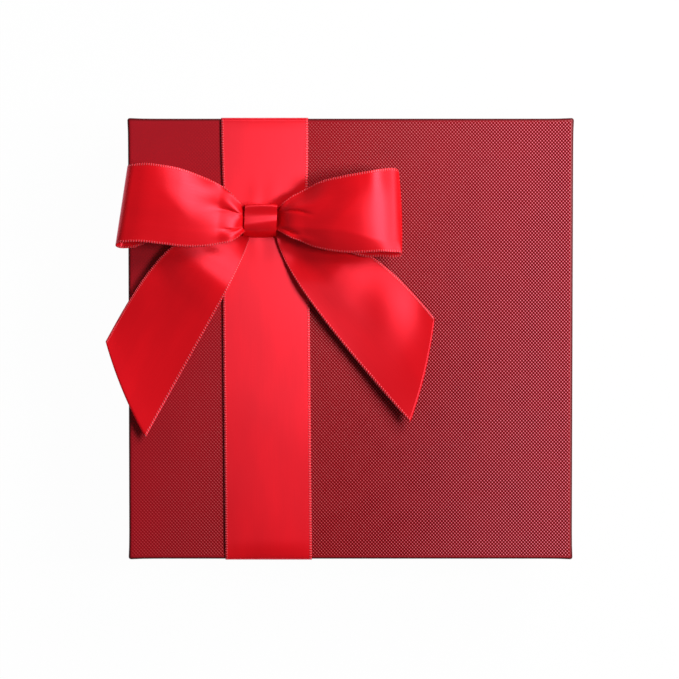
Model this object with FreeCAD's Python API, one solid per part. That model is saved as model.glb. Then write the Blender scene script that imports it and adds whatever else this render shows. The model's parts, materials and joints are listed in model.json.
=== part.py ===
# Square chocolate box: a wrapped greyboard tray, a lift-off lid and a satin ribbon with a bow.
# Millimetres, +Z up, origin at the centre of the underside, +Y towards the back of the box.
import FreeCAD
import Part
import math
import os

from FreeCAD import Vector

# Outside of the closed box
BOX_WIDTH = 128.0
BOX_DEPTH = 127.0
BOX_HEIGHT = 32.0
LID_SKIRT = 20.0

# Board, papers and the play between lid and tray
BOARD = 1.6
BOARD_BEVEL = 0.4
EDGE_ROUND = 0.8
WRAP = 0.3
TURN_IN = 12.0
TURN_UNDER = 14.0
STAY = 0.12
STAY_LEG = 11.0
LINING = 0.25
LINING_PLAY = 0.5
BOTTOM_SHEET = 0.3
BOTTOM_MARGIN = 3.0
LID_PLAY = 0.8

# Cushion pad in the lid
PAD_THICK = 5.5
PAD_PLAY = 1.2
PAD_EDGE = 2.4
PAD_GAP = 0.6
PAD_CHANNEL = 1.0
PAD_CHANNEL_WIDTH = 2.4
PAD_SQUARES = 5

# Card dividers
CARD = 0.8
DIVIDER_PLAY = 0.25
SLOT_PLAY = 0.2
CELLS = 3

# Pleated cups
CUP_PAPER = 0.25
CUP_PLAY = 0.5
CUP_FLARE = 4.5
CUP_BELOW_CARD = 5.0
CUP_PLEATS = 24
CUP_PLEAT_SHARE = 0.045

# Chocolates: play in the cup, and how far each kind stays below the card
SWEET_PLAY = 0.4
SQUARE_BELOW_CARD = 3.5
FLUTED_BELOW_CARD = 2.0
GEM_BELOW_CARD = 2.5
HEART_BELOW_CARD = 3.0
SQUARE_EDGE = 2.2
RIDGE = 0.8
RIDGE_COUNT = 3
HEART_STEP = 1.6
SQUARE_CORNER_SHARE = 0.3
RIDGE_LENGTH_SHARE = 0.62
RIDGE_PITCH_SHARE = 0.26
FLUTES = 16
FLUTE_SHARE = 0.04
GEM_SIDES = 8
GEM_FOOT_SHARE = 0.86
GEM_GIRDLE_SHARE = 0.38
GEM_TABLE_SHARE = 0.56
HEART_TOP_SHARE = 0.78

# Satin ribbon over the lid
RIBBON = 0.3
RIBBON_WIDTH = 25.0
RIBBON_X = -24.2
RIBBON_TUCK = 9.0

# Bow: knot, loops and tails
KNOT_SHIFT = -1.5
KNOT_Y = 33.9
KNOT_WIDTH = 10.0
KNOT_DEPTH = 9.5
KNOT_HEIGHT = 8.4
KNOT_FOOT_ROUND = 1.2
WAIST_PLAY = 0.25
JOIN_GAP = 0.2
LEFT_LOOP_LENGTH = 41.0
RIGHT_LOOP_LENGTH = 41.0
LEFT_LOOP_DRIFT = 5.4
RIGHT_LOOP_DRIFT = 3.6
LOOP_LIFT = 5.0
LOOP_BULGE = 9.0
LAYER_SLIP = 1.6
PLEAT_DEPTH = 0.45
LEFT_TAIL_REACH = 39.2
LEFT_TAIL_DROP = 48.1
RIGHT_TAIL_REACH = 45.5
RIGHT_TAIL_DROP = 42.2
TAIL_ARCH = 1.3
TIP_LIFT = 2.2
TAIL_CUT_ANGLE = 37.0
TAIL_STATIONS = 10
TAIL_FAN_SHARE = 0.4
TAIL_CUT_SHARE = 0.45
FOLDS = 4
LOOP_STATIONS = 10
LOOP_SPREAD_SHARE = 0.97
LOOP_FAN_SHARE = 0.62

# Levels of the tails, the lower and the upper loop layers inside the knot, in its clear height
WAIST_LEVEL_SHARES = (0.16, 0.40, 0.68)

# Bend of each tail in plan, as shares of its reach and of its drop
LEFT_BEND_SHARES = (0.44, 0.14)
RIGHT_BEND_SHARES = (0.39, 0.19)

# Side of the fluted sweet from its foot to its top, as shares of its radius and height
FLUTED_SHARES = ((1.0, 0.0), (0.94, 0.5), (0.84, 0.84), (0.66, 1.0))

# Half of a heart outline from the notch over the lobe to the tip, as shares of its radius
HEART_SHARES = ((0.0, 0.42), (0.42, 0.78), (0.84, 0.33), (0.64, -0.32), (0.0, -0.97))

OVERRUN = 1.0

# Levels from the table up
wrap_low = BOTTOM_SHEET
floor_low = wrap_low + WRAP
floor_high = floor_low + BOARD
cell_floor = floor_high + LINING
lid_top = BOX_HEIGHT
lid_rim = lid_top - LID_SKIRT
lid_ceiling = lid_top - WRAP - BOARD
base_rim = lid_ceiling - LINING
pad_low = base_rim - PAD_THICK
card_top = pad_low - PAD_GAP
band_top = lid_top + RIBBON

# Plan sizes from the outside in
wall = WRAP + BOARD + WRAP
lid_board_width = BOX_WIDTH - 2 * WRAP
lid_board_depth = BOX_DEPTH - 2 * WRAP
lid_clear_width = lid_board_width - 2 * BOARD
lid_clear_depth = lid_board_depth - 2 * BOARD
base_width = BOX_WIDTH - 2 * wall - 2 * LID_PLAY
base_depth = BOX_DEPTH - 2 * wall - 2 * LID_PLAY
base_board_width = base_width - 2 * WRAP
base_board_depth = base_depth - 2 * WRAP
base_clear_width = base_board_width - 2 * BOARD
base_clear_depth = base_board_depth - 2 * BOARD
mouth_width = base_clear_width - 2 * WRAP
mouth_depth = base_clear_depth - 2 * WRAP

# Cells, cups and sweets
divider_length = mouth_width - 2 * DIVIDER_PLAY
divider_span = mouth_depth - 2 * DIVIDER_PLAY
cell_width = (mouth_width - (CELLS - 1) * CARD) / CELLS
cell_depth = (mouth_depth - (CELLS - 1) * CARD) / CELLS
cell_pitch_x = cell_width + CARD
cell_pitch_y = cell_depth + CARD
cup_top_radius = (min(cell_width, cell_depth) / 2 - CUP_PLAY) / (1 + CUP_PLEAT_SHARE)
cup_foot_radius = cup_top_radius - CUP_FLARE
cup_high = card_top - CUP_BELOW_CARD
sweet_floor = cell_floor + CUP_PAPER
sweet_radius = (cup_foot_radius - CUP_PAPER) * (1 - CUP_PLEAT_SHARE) - SWEET_PLAY

# Bow places
knot_x = RIBBON_X + KNOT_SHIFT
knot_half = KNOT_WIDTH / 2
hollow_low = band_top + RIBBON
hollow_high = band_top + KNOT_HEIGHT - RIBBON
hollow_half = KNOT_DEPTH / 2 - RIBBON
tail_level, lower_level, upper_level = [
    hollow_low + share * (hollow_high - hollow_low) for share in WAIST_LEVEL_SHARES
]


def centred_box(width, depth, low, high):
    """Box centred on the upright axis between two levels."""
    return Part.makeBox(width, depth, high - low, Vector(-width / 2, -depth / 2, low))


def upright_edges(solid):
    """Edges that run straight up."""
    return [edge for edge in solid.Edges if edge.Vertexes[0].Point.z != edge.Vertexes[-1].Point.z]


def edges_at(solid, level):
    """Edges that lie at one level."""
    return [edge for edge in solid.Edges if all(vertex.Point.z == level for vertex in edge.Vertexes)]


def rounded_block(width, depth, low, high, radius, level):
    """Centred block with its upright edges and the edges at one level rounded."""
    block = centred_box(width, depth, low, high)
    return block.makeFillet(radius, upright_edges(block) + edges_at(block, level))


def bevelled_block(width, depth, low, high, level):
    """Centred board block with its upright edges and the edges at one level bevelled."""
    block = centred_box(width, depth, low, high)
    return block.makeChamfer(BOARD_BEVEL, upright_edges(block) + edges_at(block, level))


def corner_stays(width, depth, low, high):
    """Four paper tapes folded round the upright corners of a board tray."""
    outer = centred_box(width + 2 * STAY, depth + 2 * STAY, low, high)
    outer = outer.makeChamfer(BOARD_BEVEL, upright_edges(outer))
    inner = centred_box(width, depth, low, high)
    tape = outer.cut(inner.makeChamfer(BOARD_BEVEL, upright_edges(inner)))
    long_gap = centred_box(width - 2 * STAY_LEG, depth + 2 * OVERRUN, low, high)
    cross_gap = centred_box(width + 2 * OVERRUN, depth - 2 * STAY_LEG, low, high)
    return tape.cut(long_gap).cut(cross_gap)


def lid_board():
    """Shallow board tray, open side down."""
    low = lid_rim + WRAP
    high = lid_top - WRAP
    block = bevelled_block(lid_board_width, lid_board_depth, low, high, high)
    return block.cut(centred_box(lid_clear_width, lid_clear_depth, low - OVERRUN, lid_ceiling))


def lid_corner_stays():
    """Tapes over the lid's corners, under the wrap."""
    return corner_stays(lid_board_width, lid_board_depth, lid_rim + WRAP, lid_ceiling)


def lid_wrap():
    """Embossed paper over the lid, round the rim and up inside."""
    shell = rounded_block(BOX_WIDTH, BOX_DEPTH, lid_rim, lid_top, EDGE_ROUND, lid_top)
    low = lid_rim + WRAP
    high = lid_top - WRAP
    filled = bevelled_block(lid_board_width, lid_board_depth, low, high, high)
    turn = centred_box(lid_clear_width, lid_clear_depth, lid_rim, lid_rim + TURN_IN)
    mouth = centred_box(
        lid_clear_width - 2 * WRAP, lid_clear_depth - 2 * WRAP, lid_rim - OVERRUN, lid_ceiling
    )
    return shell.cut(filled).fuse(turn).cut(mouth).cut(lid_corner_stays()).removeSplitter()


def lid_liner():
    """Lining paper under the lid top, on which the tray rim bears."""
    width = lid_clear_width - 2 * LINING_PLAY
    depth = lid_clear_depth - 2 * LINING_PLAY
    return centred_box(width, depth, base_rim, lid_ceiling)


def lid_cushion_pad():
    """Paper cushion with drawn-in sides and crossing quilt channels on its lower face."""
    width = mouth_width - 2 * PAD_PLAY
    depth = mouth_depth - 2 * PAD_PLAY
    pad = rounded_block(width, depth, pad_low, base_rim, PAD_EDGE, pad_low)
    for step in range(1, PAD_SQUARES):
        share = step / PAD_SQUARES
        across = channel(depth)
        across.translate(Vector((share - 1 / 2) * width, 0, pad_low))
        along = channel(width)
        along.rotate(Vector(0, 0, 0), Vector(0, 0, 1), 90)
        along.translate(Vector(0, (share - 1 / 2) * depth, pad_low))
        pad = pad.cut(across).cut(along)
    return pad


def channel(length):
    """Pressed quilt channel along Y, in the lower face of the pad."""
    half = PAD_CHANNEL_WIDTH / 2
    start = -length / 2 - OVERRUN
    left = Vector(-half, start, 0)
    face = Part.Face(Part.makePolygon([left, Vector(0, start, PAD_CHANNEL), Vector(half, start, 0), left]))
    return face.extrude(Vector(0, length + 2 * OVERRUN, 0))


def base_board():
    """Board tray that stands on the table."""
    high = base_rim - WRAP
    block = bevelled_block(base_board_width, base_board_depth, floor_low, high, floor_low)
    return block.cut(centred_box(base_clear_width, base_clear_depth, floor_high, high + OVERRUN))


def base_corner_stays():
    """Tapes over the tray's corners, under the wrap."""
    return corner_stays(base_board_width, base_board_depth, floor_high, base_rim - WRAP)


def base_wrap():
    """Embossed paper round the tray, turned in at the rim and turned under the floor."""
    shell = rounded_block(base_width, base_depth, wrap_low, base_rim, EDGE_ROUND, wrap_low)
    high = base_rim - WRAP
    filled = bevelled_block(base_board_width, base_board_depth, floor_low, high, floor_low)
    turn = centred_box(base_clear_width, base_clear_depth, base_rim - TURN_IN, base_rim)
    mouth = centred_box(mouth_width, mouth_depth, floor_high, base_rim + OVERRUN)
    under = centred_box(
        base_width - 2 * TURN_UNDER, base_depth - 2 * TURN_UNDER, wrap_low - OVERRUN, floor_low
    )
    wrapped = shell.cut(filled).fuse(turn).cut(mouth).cut(under)
    return wrapped.cut(base_corner_stays()).removeSplitter()


def base_bottom_sheet():
    """Plain sheet over the turned-under edges."""
    return centred_box(base_width - 2 * BOTTOM_MARGIN, base_depth - 2 * BOTTOM_MARGIN, 0, wrap_low)


def base_liner():
    """Lining paper on the tray floor."""
    width = base_clear_width - 2 * LINING_PLAY
    depth = base_clear_depth - 2 * LINING_PLAY
    return centred_box(width, depth, floor_high, cell_floor)


def slotted_strip(length, pitch, slot_low, slot_high):
    """Card strip along X with a half-lap slot at each crossing."""
    strip = Part.makeBox(length, CARD, card_top - cell_floor, Vector(-length / 2, -CARD / 2, cell_floor))
    slot = CARD + SLOT_PLAY
    for crossing in range(CELLS - 1):
        place = (crossing + 1 - CELLS / 2) * pitch
        start = Vector(place - slot / 2, -CARD / 2 - OVERRUN, slot_low)
        strip = strip.cut(Part.makeBox(slot, CARD + 2 * OVERRUN, slot_high - slot_low, start))
    return strip


def long_divider(crossing):
    """Strip along X, its slots open upwards."""
    middle = (cell_floor + card_top) / 2
    strip = slotted_strip(divider_length, cell_pitch_x, middle, card_top + OVERRUN)
    strip.translate(Vector(0, (crossing + 1 - CELLS / 2) * cell_pitch_y, 0))
    return strip


def cross_divider(crossing):
    """Strip along Y, its slots open downwards over the long strips."""
    middle = (cell_floor + card_top) / 2
    strip = slotted_strip(divider_span, cell_pitch_y, cell_floor - OVERRUN, middle)
    strip.rotate(Vector(0, 0, 0), Vector(0, 0, 1), 90)
    strip.translate(Vector((crossing + 1 - CELLS / 2) * cell_pitch_x, 0, 0))
    return strip


def zigzag_ring(count, depth_share, radius, level):
    """Points of a zigzag ring, alternately outside and inside a circle."""
    points = []
    for step in range(2 * count):
        turn = math.pi * step / count
        reach = radius * (1 + depth_share * (-1) ** step)
        points.append(Vector(reach * math.cos(turn), reach * math.sin(turn), level))
    return points


def pleat_ring(radius, level):
    """Zigzag ring of a cup's pleats."""
    return zigzag_ring(CUP_PLEATS, CUP_PLEAT_SHARE, radius, level)


def closed(points):
    """Closed outline through points."""
    return Part.makePolygon(points + [points[0]])


def ring_faces(lower, upper):
    """Flat faces between two rings with the same number of points."""
    faces = []
    for step in range(len(lower)):
        corners = [lower[step - 1], lower[step], upper[step], upper[step - 1]]
        faces.append(Part.Face(closed(corners)))
    return faces


def candy_cup(place):
    """Pleated paper cup that flares from a flat foot."""
    foot = pleat_ring(cup_foot_radius, cell_floor)
    top = pleat_ring(cup_top_radius, cup_high)
    inner_foot = pleat_ring(cup_foot_radius - CUP_PAPER, sweet_floor)
    inner_top = pleat_ring(cup_top_radius - CUP_PAPER, cup_high)
    faces = ring_faces(foot, top) + ring_faces(inner_foot, inner_top)
    faces.append(Part.Face(closed(foot)))
    faces.append(Part.Face(closed(inner_foot)))
    faces.append(Part.Face([closed(top), closed(inner_top)]))
    cup = solid_of(faces)
    cup.translate(place)
    return cup


def solid_of(faces):
    """Closed solid of faces that meet edge to edge, facing outwards."""
    shell = Part.makeShell(faces)
    shell.sewShape()
    solid = Part.makeSolid(shell)
    if solid.Volume < 0:
        solid.reverse()
    return solid


def square_chocolate(place):
    """Square sweet with bevelled corners and top, and straight ridges across it."""
    corner = SQUARE_CORNER_SHARE * sweet_radius
    side = corner + math.sqrt(2 * sweet_radius ** 2 - corner ** 2)
    top = card_top - SQUARE_BELOW_CARD - RIDGE
    body = centred_box(side, side, sweet_floor, top)
    body = body.makeChamfer(corner, upright_edges(body))
    body = body.makeChamfer(SQUARE_EDGE, edges_at(body, top))
    half = RIDGE_LENGTH_SHARE * side / 2
    for ridge in range(RIDGE_COUNT):
        across = (ridge - (RIDGE_COUNT - 1) / 2) * RIDGE_PITCH_SHARE * side
        left = Vector(across - RIDGE, -half, top)
        crest = Vector(across, -half, top + RIDGE)
        right = Vector(across + RIDGE, -half, top)
        bar = Part.Face(closed([left, crest, right])).extrude(Vector(0, 2 * half, 0))
        body = body.fuse(bar)
    body.translate(place)
    return body.removeSplitter()


def fluted_chocolate(place):
    """Round sweet with flutes round its sloping side and a flat top."""
    height = card_top - FLUTED_BELOW_CARD - sweet_floor
    rings = []
    for reach, rise in FLUTED_SHARES:
        radius = reach * sweet_radius / (1 + FLUTE_SHARE)
        rings.append(zigzag_ring(FLUTES, FLUTE_SHARE, radius, sweet_floor + rise * height))
    faces = [Part.Face(closed(rings[0])), Part.Face(closed(rings[-1]))]
    for lower, upper in zip(rings, rings[1:]):
        faces += ring_faces(lower, upper)
    body = solid_of(faces)
    body.translate(place)
    return body


def octagon(radius, level):
    """Points of the gem sweet's outline at one level."""
    points = []
    for step in range(GEM_SIDES):
        turn = 2 * math.pi * (step + 1 / 2) / GEM_SIDES
        points.append(Vector(radius * math.cos(turn), radius * math.sin(turn), level))
    return points


def gem_chocolate(place):
    """Facetted sweet with a girdle and a flat table."""
    top = card_top - GEM_BELOW_CARD
    foot = octagon(GEM_FOOT_SHARE * sweet_radius, sweet_floor)
    girdle = octagon(sweet_radius, sweet_floor + GEM_GIRDLE_SHARE * (top - sweet_floor))
    table = octagon(GEM_TABLE_SHARE * sweet_radius, top)
    ends = [Part.Face(closed(foot)), Part.Face(closed(table))]
    body = solid_of(ring_faces(foot, girdle) + ring_faces(girdle, table) + ends)
    body.translate(place)
    return body


def heart_prism(share, low, high):
    """Upright heart of four arcs, at a share of its full size."""
    reach = share * sweet_radius
    right = [Vector(x * reach, y * reach, low) for x, y in HEART_SHARES]
    left = [Vector(-point.x, point.y, point.z) for point in right]
    outline = Part.Wire([
        Part.Arc(right[0], right[1], right[2]).toShape(),
        Part.Arc(right[2], right[3], right[4]).toShape(),
        Part.Arc(left[4], left[3], left[2]).toShape(),
        Part.Arc(left[2], left[1], left[0]).toShape(),
    ])
    return Part.Face(outline).extrude(Vector(0, 0, high - low))


def heart_chocolate(place):
    """Heart-shaped sweet with a smaller heart raised on its top."""
    top = card_top - HEART_BELOW_CARD
    body = heart_prism(1, sweet_floor, top - HEART_STEP)
    body = body.fuse(heart_prism(HEART_TOP_SHARE, top - HEART_STEP, top)).removeSplitter()
    body.translate(place)
    return body


def ribbon_line(offset):
    """Corner points of the lid section at a given distance outside the paper, back to front."""
    half = BOX_DEPTH / 2 + offset
    inner = BOX_DEPTH / 2 - wall - offset
    high = lid_top + offset
    low = lid_rim - offset
    tuck = lid_rim + RIBBON_TUCK
    start = EDGE_ROUND + offset
    bend = start * (1 - math.sqrt(1 / 2))
    rising = [Vector(0, inner, tuck), Vector(0, inner, low)]
    rising += [Vector(0, half, low), Vector(0, half, high - start)]
    corner = Vector(0, half - bend, high - bend)
    return rising, corner, Vector(0, half - start, high)


def ribbon_side(offset):
    """Edges of one face of the ribbon, from its tucked end at the back to the one at the front."""
    rising, corner, level = ribbon_line(offset)
    mirrored = [Vector(point.x, -point.y, point.z) for point in rising]
    level_front = Vector(level.x, -level.y, level.z)
    corner_front = Vector(corner.x, -corner.y, corner.z)
    edges = [Part.makeLine(start, end) for start, end in zip(rising, rising[1:])]
    edges.append(Part.Arc(rising[-1], corner, level).toShape())
    edges.append(Part.makeLine(level, level_front))
    edges.append(Part.Arc(level_front, corner_front, mirrored[-1]).toShape())
    falling = mirrored[::-1]
    edges += [Part.makeLine(start, end) for start, end in zip(falling, falling[1:])]
    return edges


def ribbon_band():
    """Flat ribbon over the lid, down both skirts, round the rim and up inside."""
    inner = ribbon_side(0)
    outer = ribbon_side(RIBBON)
    back = Part.makeLine(inner[0].Vertexes[0].Point, outer[0].Vertexes[0].Point)
    front = Part.makeLine(inner[-1].Vertexes[-1].Point, outer[-1].Vertexes[-1].Point)
    outline = Part.Wire(Part.__sortEdges__(inner + [front] + outer + [back]))
    band = Part.Face(outline).extrude(Vector(RIBBON_WIDTH, 0, 0))
    band.translate(Vector(RIBBON_X - RIBBON_WIDTH / 2, 0, 0))
    return band


def knot_face(offset):
    """Arched section of the knot, drawn in by an offset, across the bow."""
    half = KNOT_DEPTH / 2 - offset
    low = band_top + offset
    spring = band_top + KNOT_HEIGHT - KNOT_DEPTH / 2
    foot = KNOT_FOOT_ROUND - offset
    bend = foot * (1 - math.sqrt(1 / 2))
    left = KNOT_Y - half
    right = KNOT_Y + half
    diagonal = half * math.sqrt(1 / 2)
    crown = Vector(0, KNOT_Y, spring + half)
    edges = [
        Part.makeLine(Vector(0, left + foot, low), Vector(0, right - foot, low)),
        Part.Arc(
            Vector(0, right - foot, low),
            Vector(0, right - bend, low + bend),
            Vector(0, right, low + foot),
        ).toShape(),
        Part.makeLine(Vector(0, right, low + foot), Vector(0, right, spring)),
        Part.Arc(Vector(0, right, spring), Vector(0, KNOT_Y + diagonal, spring + diagonal), crown).toShape(),
        Part.Arc(crown, Vector(0, KNOT_Y - diagonal, spring + diagonal), Vector(0, left, spring)).toShape(),
        Part.makeLine(Vector(0, left, spring), Vector(0, left, low + foot)),
        Part.Arc(
            Vector(0, left, low + foot),
            Vector(0, left + bend, low + bend),
            Vector(0, left + foot, low),
        ).toShape(),
    ]
    return Part.Face(Part.Wire(edges))


def bow_knot():
    """Short length of ribbon closed round the middle of the bow."""
    ring = knot_face(0).cut(knot_face(RIBBON))
    knot = ring.extrude(Vector(KNOT_WIDTH, 0, 0))
    knot.translate(Vector(knot_x - knot_half, 0, 0))
    return knot


def waist_half(level):
    """Half width that a gathered layer has at its level inside the knot."""
    spring = hollow_high - hollow_half
    height = max(0, level + PLEAT_DEPTH + RIBBON / 2 - spring)
    return math.sqrt(hollow_half ** 2 - height ** 2) - WAIST_PLAY


def strip_section(centre, across, normal, half_width, pleat):
    """Closed thin section of a gathered ribbon: two parallel rows of pleats and two short ends."""
    rows = []
    for lift in (RIBBON / 2, -RIBBON / 2):
        row = []
        for fold in range(FOLDS + 1):
            crest = pleat if fold % 2 else -pleat
            share = 2 * fold / FOLDS - 1
            row.append(centre + across * (half_width * share) + normal * (lift + crest))
        rows.append(row)
    return closed(rows[0] + rows[1][::-1])


def loop_section(side, length, drift, turn):
    """Section of a loop at a turn of 0 to 360 degrees from its upper to its lower root."""
    half_turn = math.radians(turn / 2)
    out = math.sin(half_turn)
    reach = length - knot_half
    fan = math.sin(math.pi / 2 * min(1, out / LOOP_FAN_SHARE))
    middle = (upper_level + lower_level) / 2 + LOOP_LIFT * math.sin(math.pi / 2 * out)
    gap = math.cos(half_turn) * ((upper_level - lower_level) / 2 + LOOP_BULGE * out)
    below = (1 - math.cos(half_turn)) / 2
    root = upper_level if turn < 180 else lower_level
    y = KNOT_Y + fan * (drift - below * LAYER_SLIP)
    centre = Vector(knot_x + side * (knot_half + reach * out), y, middle + gap)
    along = loop_direction(length, half_turn, out)
    normal = Vector(-side * along.y, 0, along.x)
    narrow = waist_half(root)
    spread = narrow + fan * (LOOP_SPREAD_SHARE * RIBBON_WIDTH / 2 - narrow)
    return strip_section(centre, Vector(0, 1, 0), normal, spread, PLEAT_DEPTH * (1 - fan))


def loop_direction(length, half_turn, out):
    """Unit direction of the loop's path, outwards and upwards, at a half turn."""
    reach = length - knot_half
    waist = (upper_level - lower_level) / 2
    outwards = reach * math.cos(half_turn)
    lifting = LOOP_LIFT * math.pi / 2 * math.cos(math.pi / 2 * out) * math.cos(half_turn)
    opening = LOOP_BULGE * math.cos(half_turn) ** 2 - math.sin(half_turn) * (waist + LOOP_BULGE * out)
    size = math.hypot(outwards, lifting + opening)
    return Vector(outwards / size, (lifting + opening) / size, 0)


def root_section(side, level, out, across, upwards):
    """Gathered section of a ribbon inside the knot, at a distance out from its middle."""
    centre = Vector(knot_x + side * out, KNOT_Y, level)
    return strip_section(centre, Vector(0, across, 0), Vector(0, 0, upwards), waist_half(level), PLEAT_DEPTH)


def bow_loop(side, length, drift):
    """Loop of ribbon: out of the knot, over a crest, round the fold and back underneath."""
    sections = [root_section(side, upper_level, out, 1, 1) for out in (JOIN_GAP / 2, knot_half)]
    for station in range(1, 2 * LOOP_STATIONS):
        sections.append(loop_section(side, length, drift, 180 * station / LOOP_STATIONS))
    sections += [root_section(side, lower_level, out, 1, -1) for out in (knot_half, JOIN_GAP / 2)]
    return Part.makeLoft(sections, True, True)


def tail_section(side, path, place):
    """Section of a tail at a share of its path, turned towards the slant cut near the tip."""
    start, bend, tip = path
    centre = start * (1 - place) ** 2 + bend * (2 * place * (1 - place)) + tip * place ** 2
    along = (bend - start) * (1 - place) + (tip - bend) * place
    along.normalize()
    inwards = Vector(side * along.y, -side * along.x, 0)
    slant = max(0, place - TAIL_CUT_SHARE) / (1 - TAIL_CUT_SHARE)
    turn = math.radians(TAIL_CUT_ANGLE) * slant
    across = inwards * math.cos(turn) + along * math.sin(turn)
    fan = math.sin(math.pi / 2 * min(1, place / TAIL_FAN_SHARE))
    narrow = waist_half(tail_level)
    half_width = (narrow + fan * (RIBBON_WIDTH / 2 - narrow)) / math.cos(turn)
    centre.z = tail_level + TAIL_ARCH * math.sin(math.pi * place ** 2) + TIP_LIFT * place ** 4
    return strip_section(centre, across, Vector(0, 0, 1), half_width, PLEAT_DEPTH * (1 - fan))


def bow_tail(side, reach, drop, bend_shares):
    """Tail of ribbon: out of the knot under its loop, across the lid to a slant-cut tip."""
    start = Vector(knot_x + side * knot_half, KNOT_Y, 0)
    bend = Vector(knot_x + side * reach * bend_shares[0], KNOT_Y - drop * bend_shares[1], 0)
    tip = Vector(knot_x + side * reach, KNOT_Y - drop, 0)
    path = (start, bend, tip)
    sections = [root_section(side, tail_level, out, -1, 1) for out in (JOIN_GAP / 2, knot_half)]
    for station in range(TAIL_STATIONS):
        sections.append(tail_section(side, path, (station + 1) / TAIL_STATIONS))
    return Part.makeLoft(sections, True, True)


def cell_places():
    """Centres of the nine cells, row by row from the back left."""
    places = []
    for row in range(CELLS):
        for column in range(CELLS):
            x = (column - (CELLS - 1) / 2) * cell_pitch_x
            y = ((CELLS - 1) / 2 - row) * cell_pitch_y
            places.append(Vector(x, y, 0))
    return places


def sweets():
    """The nine chocolates with their names: squares, fluted rounds, gems and a heart in the middle."""
    kinds = ("square", "fluted", "square", "gem", "heart", "gem", "square", "fluted", "square")
    makers = {
        "square": square_chocolate,
        "fluted": fluted_chocolate,
        "gem": gem_chocolate,
        "heart": heart_chocolate,
    }
    named = {}
    for kind, place in zip(kinds, cell_places()):
        number = 1 + sum(name.startswith("chocolate_" + kind) for name in named)
        suffix = "_%d" % number if kinds.count(kind) > 1 else ""
        named["chocolate_" + kind + suffix] = makers[kind](place)
    return named


def pieces():
    """Every piece of the box by name."""
    named = {
        "base_board": base_board(),
        "base_corner_stays": base_corner_stays(),
        "base_wrap": base_wrap(),
        "base_bottom_sheet": base_bottom_sheet(),
        "base_liner": base_liner(),
        "lid_board": lid_board(),
        "lid_corner_stays": lid_corner_stays(),
        "lid_wrap": lid_wrap(),
        "lid_liner": lid_liner(),
        "lid_cushion_pad": lid_cushion_pad(),
        "ribbon_band": ribbon_band(),
        "bow_knot": bow_knot(),
        "bow_left_loop": bow_loop(-1, LEFT_LOOP_LENGTH, LEFT_LOOP_DRIFT),
        "bow_right_loop": bow_loop(1, RIGHT_LOOP_LENGTH, RIGHT_LOOP_DRIFT),
        "bow_left_tail": bow_tail(-1, LEFT_TAIL_REACH, LEFT_TAIL_DROP, LEFT_BEND_SHARES),
        "bow_right_tail": bow_tail(1, RIGHT_TAIL_REACH, RIGHT_TAIL_DROP, RIGHT_BEND_SHARES),
    }
    for crossing in range(CELLS - 1):
        named["divider_long_%d" % (crossing + 1)] = long_divider(crossing)
        named["divider_cross_%d" % (crossing + 1)] = cross_divider(crossing)
    for number, place in enumerate(cell_places(), 1):
        named["candy_cup_%d" % number] = candy_cup(place)
    named.update(sweets())
    return named


os.makedirs("parts", exist_ok=True)
for name, shape in pieces().items():
    shape.exportStep("parts/" + name + ".step")
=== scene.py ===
"""Dressing for a square chocolate box: embossed paper, a satin ribbon with a bow, and its sweets."""

import json

import bmesh
import bpy
import numpy as np
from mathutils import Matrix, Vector


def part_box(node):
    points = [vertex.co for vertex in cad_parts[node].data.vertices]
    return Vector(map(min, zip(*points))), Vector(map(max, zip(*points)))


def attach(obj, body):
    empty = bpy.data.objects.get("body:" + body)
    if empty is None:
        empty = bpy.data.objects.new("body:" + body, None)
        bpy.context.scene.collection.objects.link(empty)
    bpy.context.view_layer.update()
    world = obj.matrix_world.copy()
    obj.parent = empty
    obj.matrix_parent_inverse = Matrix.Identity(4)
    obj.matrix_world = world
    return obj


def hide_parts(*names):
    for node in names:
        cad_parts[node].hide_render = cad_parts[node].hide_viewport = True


bl_info = {
    "name": "Chocolate Box",
    "version": (1, 0, 0),
    "blender": (4, 5, 0),
    "location": "View3D > Sidebar > Box",
    "description": "Papers, ribbon, bow, cups and sweets of a square chocolate box",
    "category": "Add Mesh",
}

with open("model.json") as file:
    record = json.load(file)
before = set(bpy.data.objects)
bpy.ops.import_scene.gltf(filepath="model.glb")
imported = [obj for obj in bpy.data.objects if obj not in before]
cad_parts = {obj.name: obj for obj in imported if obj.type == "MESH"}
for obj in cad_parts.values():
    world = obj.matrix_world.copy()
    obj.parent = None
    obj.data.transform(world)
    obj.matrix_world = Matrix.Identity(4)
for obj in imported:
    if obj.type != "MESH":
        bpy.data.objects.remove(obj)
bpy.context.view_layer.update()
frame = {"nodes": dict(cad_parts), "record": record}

MM = 0.001


def corners(node):
    """The low and the high corner of a CAD node's box."""
    return (np.array(corner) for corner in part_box(node))


lid_low, lid_high = corners("lid_wrap")
base_low, base_high = corners("base_wrap")
band_low, band_high = corners("ribbon_band")
knot_low, knot_high = corners("bow_knot")
pad_low, pad_high = corners("lid_cushion_pad")
knot_mid = (knot_low + knot_high) / 2


def length(name, text, default):
    """A length property, whose default is given in millimetres."""
    return bpy.props.FloatProperty(
        name=name, description=text, default=default * MM, unit="LENGTH", precision=5
    )


def share(name, text, default):
    """A plain number from 0 to 1."""
    return bpy.props.FloatProperty(
        name=name, description=text, default=default, min=0, max=1, subtype="FACTOR"
    )


def power(name, text, default):
    """The power of a lamp in watts."""
    return bpy.props.FloatProperty(name=name, description=text, default=default, unit="POWER")


def colour(name, text, default):
    """A linear colour."""
    return bpy.props.FloatVectorProperty(
        name=name, description=text, default=default, size=3, min=0, max=1, subtype="COLOR"
    )


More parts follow.
